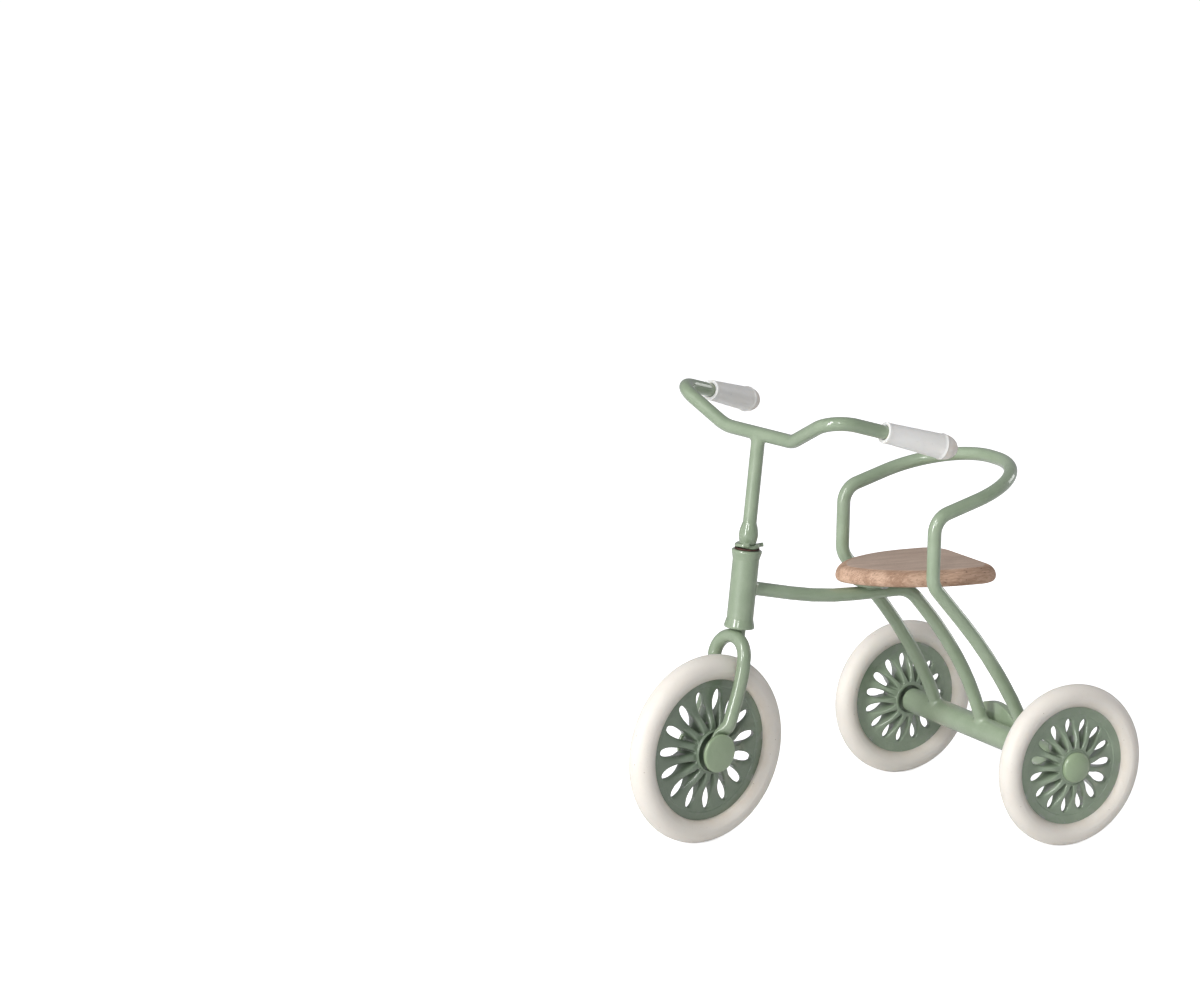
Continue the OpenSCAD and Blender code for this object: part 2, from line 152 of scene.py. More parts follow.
def grid_faces(rings, size, closed_rings=False):
    faces = []
    for i in range(rings if closed_rings else rings - 1):
        a, b = i * size, (i + 1) % rings * size
        for k in range(size):
            n = (k + 1) % size
            faces.append([a + k, a + n, b + n, b + k])
    return faces


def turn_about(profile, count, closed=False):
    """Turns a profile of (radius, z) about Z. Ends on the axis close with a fan; a closed profile is a ring."""
    angles = np.arange(count) * 2 * math.pi / count
    points, rows = [], []
    for r, z in profile:
        if r < 1e-9:
            rows.append([len(points)])
            points.append([0, 0, z])
        else:
            rows.append(list(range(len(points), len(points) + count)))
            points += [[r * math.cos(a), r * math.sin(a), z] for a in angles]
    faces = []
    pairs = list(zip(rows, rows[1:] + rows[:1])) if closed else list(zip(rows, rows[1:]))
    for low, high in pairs:
        for k in range(count):
            n = (k + 1) % count
            if len(low) == 1 and len(high) == 1:
                continue
            if len(low) == 1:
                faces.append([low[0], high[n], high[k]])
            elif len(high) == 1:
                faces.append([low[k], low[n], high[0]])
            else:
                faces.append([low[k], low[n], high[n], high[k]])
    return points, faces


def rounded(profile, radius, steps=5, closed=True):
    """Rounds the corners of a 2D outline. radius is one number or one per corner."""
    count = len(profile)
    radii = [radius] * count if np.isscalar(radius) else radius
    out = []
    for i, p in enumerate(profile):
        p = np.array(p, float)
        if radii[i] <= 0 or (not closed and i in (0, count - 1)):
            out.append(p)
            continue
        before, after = np.array(profile[i - 1], float), np.array(profile[(i + 1) % count], float)
        a, b = before - p, after - p
        la, lb = np.linalg.norm(a), np.linalg.norm(b)
        a, b = a / la, b / lb
        half = math.acos(np.clip(a @ b, -1, 1)) / 2
        if half > math.radians(88):
            out.append(p)
            continue
        reach = min(radii[i] / math.tan(half), 0.48 * la, 0.48 * lb)
        start, stop = p + a * reach, p + b * reach
        for k in range(steps + 1):
            t = k / steps
            out.append((1 - t) ** 2 * start + 2 * t * (1 - t) * (p * 0.88 + (start + stop) / 2 * 0.12) + t ** 2 * stop)
    return out


def bent(path, bends, step=3.0):
    """Rounds the inner corners of a path with arcs."""
    path = [np.array(p, float) for p in path]
    out = [path[0]]
    for p0, p, p1, r in zip(path, path[1:], path[2:], bends):
        a, b = (p0 - p) / np.linalg.norm(p0 - p), (p1 - p) / np.linalg.norm(p1 - p)
        half = math.acos(np.clip(a @ b, -1, 1)) / 2
        middle_way = (a + b) / np.linalg.norm(a + b)
        centre = p + middle_way * r / math.sin(half)
        start, stop = p + a * r / math.tan(half) - centre, p + b * r / math.tan(half) - centre
        turn = math.pi - 2 * half
        n = max(3, int(math.degrees(turn) / step))
        for k in range(n + 1):
            s = k / n * turn
            out.append(centre + (math.sin(turn - s) * start + math.sin(s) * stop) / math.sin(turn))
    out.append(path[-1])
    return np.array(out)


def with_steps(path, longest):
    """Splits long pieces of a path."""
    out = [path[0]]
    for a, b in zip(path, path[1:]):
        n = max(1, int(math.ceil(np.linalg.norm(b - a) / longest)))
        out += [a + (b - a) * k / n for k in range(1, n + 1)]
    return np.array(out)


def frames_along(path, side):
    steps = np.diff(path, axis=0)
    steps /= np.linalg.norm(steps, axis=1)[:, None]
    ways = np.vstack([steps[:1], steps[:-1] + steps[1:], steps[-1:]])
    ways /= np.linalg.norm(ways, axis=1)[:, None]
    normal = np.array(side, float)
    normals = []
    for way in ways:
        normal = normal - way * (normal @ way)
        normal = normal / np.linalg.norm(normal)
        normals.append(normal)
    return ways, np.array(normals)


def rod(path, side=(0, 1, 0), radius=ROD_R, sides=48, sizes=None):
    """A closed rod along a path. sizes gives, per point, two half widths and how square the section is."""
    ways, normals = frames_along(path, side)
    across = np.cross(ways, normals)
    angles = np.arange(sides) * 2 * math.pi / sides
    points = []
    for i, p in enumerate(path):
        a, b, square = (radius, radius, 2.0) if sizes is None else sizes[i]
        c, s = np.cos(angles), np.sin(angles)
        c = np.sign(c) * np.abs(c) ** (2 / square)
        s = np.sign(s) * np.abs(s) ** (2 / square)
        points.append(p + a * c[:, None] * normals[i] + b * s[:, None] * across[i])
    points = np.vstack(points)
    last = len(path) - 1
    faces = grid_faces(len(path), sides)
    faces.append(list(range(sides))[::-1])
    faces.append([last * sides + k for k in range(sides)])
    return points, faces


def path_distance(path, radius):
    """The distance from a point to the surface of a rod along a path."""
    a, b = np.array(path[:-1], float), np.array(path[1:], float)
    d = b - a
    length = (d * d).sum(1)

    def distance(p):
        t = np.clip(((p - a) * d).sum(1) / length, 0, 1)
        return np.linalg.norm(p - (a + t[:, None] * d), axis=1).min() - radius
    return distance


def slope(distance, p):
    step = 1e-3
    n = np.array([distance(p + step * e) - distance(p - step * e) for e in np.eye(3)])
    return n / np.linalg.norm(n)


def weld(start, way, radius, surface, size, count=64, rows=7, uneven=0.1, seed=0):
    """A smooth ring of paint and weld where a rod from start along way leaves a surface."""
    way = np.array(way, float) / np.linalg.norm(way)
    side = np.cross(way, [0.37, 0.61, 0.7])
    side /= np.linalg.norm(side)
    other = np.cross(way, side)
    rng = np.random.default_rng(seed)
    waves = rng.uniform(0, 2 * math.pi, 4)
    points = []
    for k in range(count):
        angle = 2 * math.pi * k / count
        out = math.cos(angle) * side + math.sin(angle) * other
        q = np.array(start, float) + radius * out
        low, high = 0.0, 12.0
        for _ in range(30):
            mid = (low + high) / 2
            low, high = (mid, high) if surface(q + mid * way) < 0 else (low, mid)
        meet = q + high * way
        wobble = 1 + uneven * sum(math.sin((j + 2) * angle + waves[j]) for j in range(4)) / 2
        reach = size * wobble
        normal = slope(surface, meet)
        upper = meet + way * reach - out * 0.02
        along = out - normal * (out @ normal)
        along /= max(np.linalg.norm(along), 1e-6)
        lower = meet + along * reach
        for _ in range(3):
            lower = lower - slope(surface, lower) * (surface(lower) + 0.02)
        for j in range(rows):
            t = j / (rows - 1)
            points.append((1 - t) ** 2 * upper + 2 * t * (1 - t) * (meet * 0.9 + (upper + lower) / 2 * 0.1) + t ** 2 * lower)
        points.append(meet - out * 0.5 - normal * 0.5)
    return points, [face[::-1] for face in grid_faces(count, rows + 1, closed_rings=True)]


def make(name, shape, place, material, body, nodes=(), crease=34.0, merge=0.0):
    """One named object from a shape, in the row frame, smooth apart from its creases."""
    origin, axes = place
    points = (np.vstack(shape.points) @ axes + origin) * MM
    mesh = bpy.data.meshes.new(name)
    mesh.from_pydata([tuple(p) for p in points], [], shape.faces)
    mesh.update()
    tone = mesh.attributes.new("tone", "FLOAT", "POINT")
    tone.data.foreach_set("value", np.concatenate(shape.tone).astype(np.float32))
    bm = bmesh.new()
    bm.from_mesh(mesh)
    if merge:
        bmesh.ops.remove_doubles(bm, verts=bm.verts, dist=merge * MM)
    bmesh.ops.recalc_face_normals(bm, faces=bm.faces)
    bm.to_mesh(mesh)
    bm.free()
    mesh.shade_smooth()
    mesh.set_sharp_from_angle(angle=math.radians(crease))
    mesh.materials.append(material)
    obj = bpy.data.objects.new(name, mesh)
    bpy.context.scene.collection.objects.link(obj)
    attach(obj, body)
    if nodes:
        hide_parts(*nodes)
    return obj


# ------------------------------------------------------------------ materials


class Looks:
    """A procedural material whose patterns are measured in millimetres."""

    def __init__(self, name):
        self.material = bpy.data.materials.new(name)
        self.material.use_nodes = True
        self.tree = self.material.node_tree
        self.tree.nodes.clear()
        output = self.tree.nodes.new("ShaderNodeOutputMaterial")
        self.shader = self.tree.nodes.new("ShaderNodeBsdfPrincipled")
        self.tree.links.new(self.shader.outputs[0], output.inputs[0])
        place = self.tree.nodes.new("ShaderNodeTexCoord")
        self.mm = self.scaled(place.outputs["Object"], (1 / MM, 1 / MM, 1 / MM))

    def put(self, socket, value):
        if isinstance(value, bpy.types.NodeSocket):
            self.tree.links.new(value, socket)
        elif value is not None:
            socket.default_value = value

    def scaled(self, vector, scale, rotation=(0, 0, 0)):
        node = self.tree.nodes.new("ShaderNodeMapping")
        self.put(node.inputs["Vector"], vector)
        node.inputs["Scale"].default_value = scale
        node.inputs["Rotation"].default_value = rotation
        return node.outputs[0]

    def noise(self, scale, detail=3.0, rough=0.5, vector=None):
        node = self.tree.nodes.new("ShaderNodeTexNoise")
        self.put(node.inputs["Vector"], vector or self.mm)
        node.inputs["Scale"].default_value = scale
        node.inputs["Detail"].default_value = detail
        node.inputs["Roughness"].default_value = rough
        return node.outputs["Fac"]

    def cells(self, scale, vector=None):
        node = self.tree.nodes.new("ShaderNodeTexVoronoi")
        self.put(node.inputs["Vector"], vector or self.mm)
        node.inputs["Scale"].default_value = scale
        return node.outputs["Distance"]

    def between(self, value, low, high, out_low=0.0, out_high=1.0):
        node = self.tree.nodes.new("ShaderNodeMapRange")
        node.interpolation_type = "SMOOTHSTEP"
        self.put(node.inputs["Value"], value)
        for name, number in (("From Min", low), ("From Max", high), ("To Min", out_low), ("To Max", out_high)):
            node.inputs[name].default_value = number
        return node.outputs[0]

    def sums(self, kind, a, b):
        node = self.tree.nodes.new("ShaderNodeMath")
        node.operation = kind
        self.put(node.inputs[0], a)
        self.put(node.inputs[1], b)
        return node.outputs[0]

    def mix(self, share, a, b):
        node = self.tree.nodes.new("ShaderNodeMix")
        node.data_type = "RGBA"
        self.put(node.inputs["Factor"], share)
        self.put(node.inputs["A"], a if isinstance(a, bpy.types.NodeSocket) else (*a, 1))
        self.put(node.inputs["B"], b if isinstance(b, bpy.types.NodeSocket) else (*b, 1))
        return node.outputs["Result"]

    def attribute(self, name):
        node = self.tree.nodes.new("ShaderNodeAttribute")
        node.attribute_name = name
        return node.outputs["Fac"]

    def facing_up(self):
        geometry = self.tree.nodes.new("ShaderNodeNewGeometry")
        split = self.tree.nodes.new("ShaderNodeSeparateXYZ")
        self.put(split.inputs[0], geometry.outputs["Normal"])
        return split.outputs["Z"]

    def bump(self, height, depth_mm, strength=1.0, normal=None):
        node = self.tree.nodes.new("ShaderNodeBump")
        node.inputs["Strength"].default_value = strength
        node.inputs["Distance"].default_value = depth_mm * MM
        self.put(node.inputs["Height"], height)
        self.put(node.inputs["Normal"], normal)
        return node.outputs[0]

    def done(self, colour, rough, normal=None, **fixed):
        self.put(self.shader.inputs["Base Color"], colour)
        self.put(self.shader.inputs["Roughness"], rough)
        self.put(self.shader.inputs["Normal"], normal)
        for name, value in fixed.items():
            self.shader.inputs[name.replace("_", " ")].default_value = value
        return self.material


def paint(name, light, dark, worn=False, peel=1.0):
    look = Looks(name)
    broad = look.between(look.noise(0.22, 2.0), 0.3, 0.7)
    colour = look.mix(broad, light, dark)
    speck = look.between(look.noise(5.5, 2.0, 0.6), 0.60, 0.74)
    colour = look.mix(look.sums("MULTIPLY", speck, 0.30), colour, tuple(c * 0.62 for c in dark))
    pale = look.between(look.noise(7.5, 1.0), 0.63, 0.74)
    colour = look.mix(look.sums("MULTIPLY", pale, 0.22), colour, tuple(min(1, c * 1.45) for c in light))
    height = look.sums("ADD", look.sums("MULTIPLY", look.noise(0.9, 2.0), 1.0), look.sums("MULTIPLY", look.noise(6.0, 2.0), 0.16))
    normal = look.bump(height, 0.055 * peel)
    rough = look.between(look.noise(2.4, 3.0), 0.3, 0.7, 0.36, 0.50)
    if worn:
        tone = look.attribute("tone")
        patch = look.between(look.noise(0.42, 4.0, 0.62), 0.55, 0.60)
        bare = look.sums("MULTIPLY", tone, patch)
        colour = look.mix(bare, colour, (0.33, 0.32, 0.33))
        rough = look.sums("ADD", rough, look.sums("MULTIPLY", bare, 0.15))
    return look.done(colour, rough, normal, Coat_Weight=1.0, Coat_Roughness=0.05, IOR=1.5)


def soft(name, base, warm, fleck, fleck_at, rough_low, grain):
    """Ivory tyre or off-white grip. Tone 1 is where the colour turns warm and darker: on the tyre, painted shade in the
    crease by the rim together with a brownish stain; on the grip, over its domed end and mould ring.
    """
    look = Looks(name)
    cloud = look.between(look.noise(0.16, 3.0), 0.3, 0.75)
    colour = look.mix(look.sums("MULTIPLY", cloud, 0.5), base, tuple(c * 0.93 for c in base))
    tone = look.attribute("tone")
    # Where tone is high the colour turns warm: on the tyre, painted shade by the rim with a mottled brownish stain.
    stain = look.sums("MULTIPLY", tone, look.between(look.noise(0.35, 4.0, 0.6), 0.2, 0.75, 0.25, 0.75))
    colour = look.mix(stain, colour, warm)
    dots = look.between(look.cells(0.62), 0.035, 0.075, 1.0, 0.0)
    dots = look.sums("MULTIPLY", dots, look.between(look.noise(0.30, 2.0), fleck_at, fleck_at + 0.05))
    colour = look.mix(dots, colour, fleck)
    scuff = look.between(look.noise(1.7, 5.0, 0.7), 0.60, 0.72)
    colour = look.mix(look.sums("MULTIPLY", scuff, 0.16), colour, fleck)
    height = look.sums("ADD", look.noise(1.1, 3.0), look.sums("MULTIPLY", look.noise(9.0, 2.0), grain))
    normal = look.bump(height, 0.05)
    rough = look.between(look.noise(1.5, 3.0), 0.3, 0.7, rough_low, rough_low + 0.14)
    return look.done(colour, rough, normal, Specular_IOR_Level=0.4, Coat_Weight=0.10, Coat_Roughness=0.30,
                     Subsurface_Weight=0.35, Subsurface_Scale=0.0025, Subsurface_Radius=(1.0, 0.85, 0.7))


def wood(name):
    look = Looks(name)
    warp = look.noise(0.09, 2.0)
    along = look.scaled(look.mm, (0.16, 1.0, 1.0))
    broad = look.between(look.noise(0.55, 3.0, vector=along), 0.3, 0.72)
    fine = look.noise(3.4, 4.0, 0.65, vector=look.scaled(look.mm, (0.10, 1.0, 1.0)))
    streak = look.between(fine, 0.42, 0.66)
    side = look.mix(broad, (0.640, 0.435, 0.315), (0.39, 0.245, 0.165))
    side = look.mix(look.sums("MULTIPLY", streak, 0.45), side, (0.27, 0.145, 0.085))
    rays = look.noise(1.0, 2.0, 0.5, vector=look.scaled(look.mm, (0.75, 3.2, 2.6), (0, 0.30, 0.25)))
    side = look.mix(look.between(rays, 0.56, 0.68, 0.0, 0.55), side, (0.66, 0.46, 0.34))
    dashes = look.noise(1.0, 2.0, 0.5, vector=look.scaled(look.mm, (0.9, 3.6, 3.8), (0, -0.12, 0)))
    side = look.mix(look.between(dashes, 0.64, 0.70, 0.0, 0.75), side, (0.13, 0.075, 0.05))
    # Greyer colours for the flat top, partly painted sheen.
    top = look.mix(broad, (0.590, 0.455, 0.370), (0.500, 0.380, 0.305))
    top = look.mix(look.sums("MULTIPLY", streak, 0.28), top, (0.360, 0.250, 0.195))
    pore = look.between(look.noise(6.0, 2.0, vector=look.scaled(look.mm, (0.35, 1.0, 1.0))), 0.60, 0.70)
    top = look.mix(look.sums("MULTIPLY", pore, 0.35), top, (0.26, 0.17, 0.13))
    # The flat top is greyer than the orange sides: partly the grain of each face, partly a painted sheen for the light
    # the top reflects.
    colour = look.mix(look.between(look.attribute("tone"), 0.35, 0.65), side, top)
    colour = look.mix(look.sums("MULTIPLY", look.between(warp, 0.4, 0.7), 0.15), colour, (0.30, 0.19, 0.13))
    height = look.sums("ADD", look.sums("MULTIPLY", fine, 0.7), look.sums("MULTIPLY", look.noise(6.0, 3.0), 0.5))
    return look.done(colour, look.between(fine, 0.3, 0.7, 0.62, 0.8), look.bump(height, 0.07), Specular_IOR_Level=0.3)


def metal(name, light, dark, rough, metallic):
    look = Looks(name)
    stain = look.between(look.noise(0.9, 4.0, 0.6), 0.35, 0.65)
    colour = look.mix(stain, light, dark)
    height = look.noise(5.0, 4.0, 0.6)
    return look.done(colour, look.between(height, 0.3, 0.7, rough, rough + 0.2), look.bump(height, 0.04), Metallic=metallic)


PAINT = paint("sage_paint", (0.292, 0.365, 0.248), (0.258, 0.330, 0.218))
# Darker copy of the frame's sage paint for the head tube and steering parts: painted shade.
PAINT_STEER_SHADED = paint("sage_paint_steering_painted_shade", (0.245, 0.308, 0.206), (0.217, 0.279, 0.182))
CAST_REAR = paint("sage_cast_paint_rear", (0.238, 0.300, 0.210), (0.200, 0.258, 0.178), worn=True, peel=1.8)
# Darker copy of the rear rims' cast paint for the front rim, whose face is turned from the light: painted shade.
CAST_FRONT_SHADED = paint("sage_cast_paint_front_painted_shade", (0.165, 0.215, 0.148), (0.138, 0.184, 0.125), worn=True, peel=1.8)
CAP = paint("sage_cap_paint", (0.285, 0.370, 0.228), (0.255, 0.338, 0.204), peel=0.8)
TYRE = soft("ivory_tyre", (0.765, 0.725, 0.665), (0.62, 0.53, 0.43), (0.30, 0.23, 0.17), 0.50, 0.50, 0.12)
GRIP = soft("white_grip", (0.790, 0.775, 0.745), (0.66, 0.585, 0.510), (0.28, 0.26, 0.24), 0.60, 0.48, 0.20)
WOOD = wood("beech")
STEEL = metal("plain_steel", (0.52, 0.52, 0.51), (0.33, 0.32, 0.31), 0.28, 1.0)
RUST = metal("rusty_steel", (0.095, 0.035, 0.025), (0.03, 0.014, 0.012), 0.6, 0.2)

# ------------------------------------------------------------------ frame of the tricycle
axle_line = path_distance([[0, -40, AXLE_Z], [0, 40, AXLE_Z]], AXLE_R)
loop_path = bent(LOOP, LOOP_BENDS)
main_path = bent(MAIN, MAIN_BENDS)


def towards(path, i, j):
    return np.array(path[j]) - np.array(path[i])


shape = Shape()
shape.add(*rod(with_steps(loop_path, 4.0)))
for k, s in enumerate((1, -1)):
    start = [LOOP_SIDE[0][0], s * LOOP_V, LOOP_SIDE[0][2]]
    way = np.subtract(LOOP_SIDE[1], LOOP_SIDE[0]) * [1, s, 1]
    shape.add(*weld(start, way, ROD_R, axle_line, 0.85, seed=3 + k))
make("backrest_and_legs", shape, BIKE, PAINT, "frame", ["seat_loop"])

head_line = path_distance([(HEAD[0] + steer_w * w - BIKE[0]) for w in (HEAD_LOW - 9, HEAD_TOP + 9)], HEAD_R)
shape = Shape()
shape.add(*rod(with_steps(main_path, 4.0)[:-1], radius=ROD_R))
shape.add(*weld(MAIN[-1], towards(MAIN, -1, -2), ROD_R, axle_line, 0.95, seed=7))
shape.add(*weld(MAIN[0], towards(MAIN, 0, 1), ROD_R, head_line, 0.7, seed=8))
make("main_frame_tube", shape, BIKE, PAINT, "frame", ["main_tube"])


def lathe(profile, count=96, closed=False, radius=0.0, steps=5):
    if radius:
        profile = rounded(profile, radius, steps, closed)
    return turn_about([(max(0.0, p[0]), p[1]) for p in profile], count, closed)


flare = [(1.56, HEAD_LOW), (HEAD_R + 0.40, HEAD_LOW), (HEAD_R + 0.40, HEAD_LOW + 0.55), (HEAD_R, HEAD_LOW + 2.1),
         (HEAD_R, HEAD_TOP - 2.1), (HEAD_R + 0.38, HEAD_TOP - 0.55), (HEAD_R + 0.38, HEAD_TOP), (1.56, HEAD_TOP)]
shape = Shape()
shape.add(*lathe(flare, closed=True, radius=[0.1, 0.28, 0.3, 0.9, 0.9, 0.3, 0.22, 0.1], steps=6))
make("head_tube_flared", shape, HEAD, PAINT_STEER_SHADED, "frame", ["head_tube"])

# Axle tube: open at both ends, with faint rings turned into it near the right end
rings = [(AXLE_R - 0.012 * (1 - math.cos(2 * math.pi * y / 0.55)) * max(0.0, min(1.0, (y - 20.5) / 1.5)), y)
         for y in np.arange(-29.3, 29.31, 0.1375)]
tube = [(1.27, -AXLE_HALF), (AXLE_R - 0.35, -AXLE_HALF), (AXLE_R - 0.1, -AXLE_HALF + 0.1)] + rings + \
       [(AXLE_R - 0.1, AXLE_HALF - 0.1), (AXLE_R - 0.35, AXLE_HALF), (1.27, AXLE_HALF)]
shape = Shape()
shape.add(*lathe(tube, closed=True))
shape.turned([[1, 0, 0], [0, 0, -1], [0, 1, 0]], (0, 0, AXLE_Z))
make("axle_tube", shape, BIKE, PAINT, "frame", ["rear_axle_tube"])

# Arched plate behind the axle tube, with its edge turned back
PLATE_R, PLATE_TOP, PLATE_LIP = 12.5, 24.0, 1.8
plate_c = PLATE_TOP - PLATE_R
section = rounded([(0, 0), (PLATE_R, 0), (PLATE_R, PLATE_LIP), (PLATE_R - 0.75, PLATE_LIP), (PLATE_R - 0.75, 0.75), (0, 0.75)],
                  [0, 0.22, 0.2, 0.2, 0.35, 0], 4)
low_angle = math.asin((AXLE_Z - 0.6 - plate_c) / PLATE_R)
angles = np.linspace(low_angle, math.pi - low_angle, 73)
points, rows = [], len(section)
floor_z = AXLE_Z - 0.6
for a in angles:
    for r, t in section:
        y, z = r * math.cos(a), plate_c + r * math.sin(a)
        z = floor_z if r < 1e-6 else z
        y = -y if r > 1e-6 else -PLATE_R * math.cos(a) * 0.98
        points.append([-AXLE_R + 0.2 - t, y, max(z, floor_z)])
faces = grid_faces(len(angles), rows)
faces += [list(range(rows))[::-1], [(len(angles) - 1) * rows + k for k in range(rows)]]
shape = Shape().add(points, faces)
make("arched_plate", shape, BIKE, PAINT, "frame", ["rear_plate"])


def cap_profile(r, edge, dome, start=0.0):
    """A dome whose edge is rounded, from its flat back to its middle."""
    steps = [(0.0, start), (r - 0.12, start), (r, start + 0.1)]
    for a in np.linspace(0, math.pi / 2, 18):
        steps.append((r * math.cos(a) ** 0.9, start + edge + (dome - edge) * math.sin(a) ** 0.92))
    return steps[:-1] + [(0.0, start + dome)]


HUB_OUT, CAP_GAP, CAP_DOME = 2.2, 0.1, 1.55
for side, place in (("left", REAR_LEFT), ("right", REAR_RIGHT)):
    shape = Shape()
    shape.add(*turn_about(cap_profile(3.4, 0.30, CAP_DOME, HUB_OUT + CAP_GAP), 96))
    make("rear_dome_" + side, shape, place, CAP, "frame", ["rear_cap_" + side])
CAP_BASE = 4.0
for side, place in (("left", FRONT_LEFT), ("right", FRONT_RIGHT)):
    outline = [(0.0, CAP_BASE), (4.1, CAP_BASE), (4.25, CAP_BASE + 0.15), (4.25, CAP_BASE + 0.55)]
    for a in np.linspace(0, math.pi / 2, 10):
        outline.append((4.25 - 0.55 * (1 - math.cos(a)), CAP_BASE + 0.55 + 0.36 * math.sin(a)))
    outline += [(2.6, CAP_BASE + 1.03), (1.3, CAP_BASE + 1.08), (0.0, CAP_BASE + 1.10)]
    shape = Shape().add(*turn_about(outline, 96))
    make("front_disc_" + side, shape, place, CAP, "steering", ["front_cap_" + side], crease=50)

# ------------------------------------------------------------------ seat


def seat_outline(inset, count=30):
    rear, wide, corner, length, width = 5.0, 15.0, 6.4, 35.2, 27.4
    w, c, front = width / 2 - inset, max(corner - inset, 3.0), rear + length - inset
    half = [[rear + inset + c - c * math.cos(a), w - c + c * math.sin(a)] for a in np.linspace(0, math.pi / 2, count // 2)]
    reach = front - wide
    for k in range(1, count * 2 + 1):
        s = math.sin(math.pi / 2 * k / (count * 2))
        half.append([wide + reach * s, w * max(0.0, 1 - s * s) ** 0.62])
    return half + [[x, -y] for x, y in half[-2::-1]]


def seat_points(inset, z, count=30):
    return [[x, y, z] for x, y in seat_outline(inset, count)]


round_in = 2.6
# Tone 1 marks the flat top, which the beech material paints greyer, partly as painted sheen.
levels = [(1.25, 0.0, 0.0), (0.75, 0.06, 0.0), (0.32, 0.28, 0.0), (0.08, 0.62, 0.0), (0.0, 1.0, 0.0)]
for a in np.linspace(0.14, math.pi / 2, 11):
    levels.append((round_in * 0.93 * (1 - math.cos(a)) ** 1.1, 1.0 + (SEAT_T - 1.08) * math.sin(a), 0.0))
levels += [(round_in * 0.97, SEAT_T - 0.03, 0.5), (round_in + 0.05, SEAT_T, 1.0), (round_in + 0.5, SEAT_T, 1.0)]
levels += [(round_in + d, SEAT_T, 1.0) for d in (2.0, 4.0)]
points, tones = [], []
size = len(seat_outline(0.0))
for inset, z, tone in levels:
    points += seat_points(inset, SEAT_TOP - SEAT_T + z)
    tones += [tone] * size
faces = grid_faces(len(levels), size)
faces += [list(range(size))[::-1], [(len(levels) - 1) * size + k for k in range(size)]]
shape = Shape().add(points, faces, tones)
make("beech_seat", shape, BIKE, WOOD, "frame", ["seat_board"], crease=60)

# Plate under the seat, with rounded edges, and the weld beads where the tube touches it
PLATE_Z, PLATE_T, PLATE_W = 53.8, 1.1, 8.0
PLATE_X = (13.0, 35.8)
levels = [(0.25, 0.0), (0.07, 0.07), (0.0, 0.25), (0.0, PLATE_T - 0.15), (0.05, PLATE_T - 0.05), (0.15, PLATE_T)]
points = []
size = 96
for inset, z in levels:
    for k in range(size):
        a = 2 * math.pi * (k + 0.5) / size
        r = PLATE_W / 2 - inset
        middle_x = PLATE_X[0] + PLATE_W / 2 if math.cos(a) < 0 else PLATE_X[1] - PLATE_W / 2
        points.append([middle_x + r * math.cos(a), r * math.sin(a), PLATE_Z + z])
faces = grid_faces(len(levels), size)
faces += [list(range(size))[::-1], [(len(levels) - 1) * size + k for k in range(size)]]
shape = Shape().add(points, faces)
for s in (1, -1):
    bead = []
    xs = np.linspace(22.5, 34.0, 60)
    tube_z = np.interp(xs, main_path[::-1, 0], main_path[::-1, 2])
    for i, (x, tz) in enumerate(zip(xs, tube_z)):
        swell = 1 + 0.12 * math.sin(x * 5.0 + s) + 0.08 * math.sin(x * 2.3)
        end = min(1.0, i / 5, (len(xs) - 1 - i) / 5)
        end = math.sqrt(max(end, 0.02))
        top = PLATE_Z + 0.03
        out = 1.75 * swell
        meet = [x, s * 0.4, top]
        far = [x, s * (0.55 + (out - 0.55) * end), top]
        low_z = tz + math.sqrt(max(0.0, ROD_R ** 2 - 1.2 ** 2))
        low = [x, s * 1.18, top + (low_z - top) * end]
        mid = [x, s * (0.55 + 0.72 * end), top - 0.18 * end]
        inner = [x, s * 0.4, top - 0.35]
        bead += [meet, far, mid, low, inner]
    f = grid_faces(len(xs), 5) + [[0, 1, 2, 3, 4][::-1], [(len(xs) - 1) * 5 + k for k in range(5)]]
    shape.add(bead, f)
make("seat_support_plate", shape, BIKE, PAINT, "frame", ["seat_plate"], crease=40)

# ------------------------------------------------------------------ steering
bar_path = bent(BAR, BAR_BENDS) + [0, 0, BAR_W]
bar_line = path_distance(bar_path, ROD_R)
shape = Shape().add(*rod(with_steps(bar_path, 4.0), side=(0, 0, 1)))
shape.add(*weld([0, 0, BAR_W], [0, 0, -1], ROD_R, bar_line, 1.15, seed=11))
make("handlebar_bent", shape, STEER, PAINT_STEER_SHADED, "steering", ["handlebar"])

CLIP_W, CLIP_T = HEAD_TOP + 0.45, 0.9
SWELL, SWELL_L = 0.58, 4.6
fork_arc = bent([FORK_SIDE[0], FORK_SIDE[1], FORK_SIDE[2], flip(FORK_SIDE[2]), flip(FORK_SIDE[1]), flip(FORK_SIDE[0])],
                [7, BLADE_V - 0.01, BLADE_V - 0.01, 7])
fork_line = path_distance(fork_arc, ROD_R)
profile = [(0.0, ARCH_W - 0.4), (ROD_R, ARCH_W - 0.4), (ROD_R, CLIP_W + CLIP_T - 0.3)]
for t in np.linspace(0, 1, 40):
    rise = math.sin(math.pi * t ** 0.78) ** 0.9 if 0 < t < 1 else 0.0
    foot = 0.35 * math.exp(-t * 16)
    profile.append((ROD_R + SWELL * rise + foot, CLIP_W + CLIP_T + SWELL_L * t))
profile += [(ROD_R, w) for w in np.linspace(CLIP_W + CLIP_T + SWELL_L + 0.5, BAR_W, 10)] + [(0.0, BAR_W)]
shape = Shape().add(*turn_about(profile, 64))
shape.add(*weld([0, 0, ARCH_W], [0, 0, 1], ROD_R, fork_line, 0.4, seed=12))
make("steering_stem", shape, STEER, PAINT_STEER_SHADED, "steering", ["stem"])

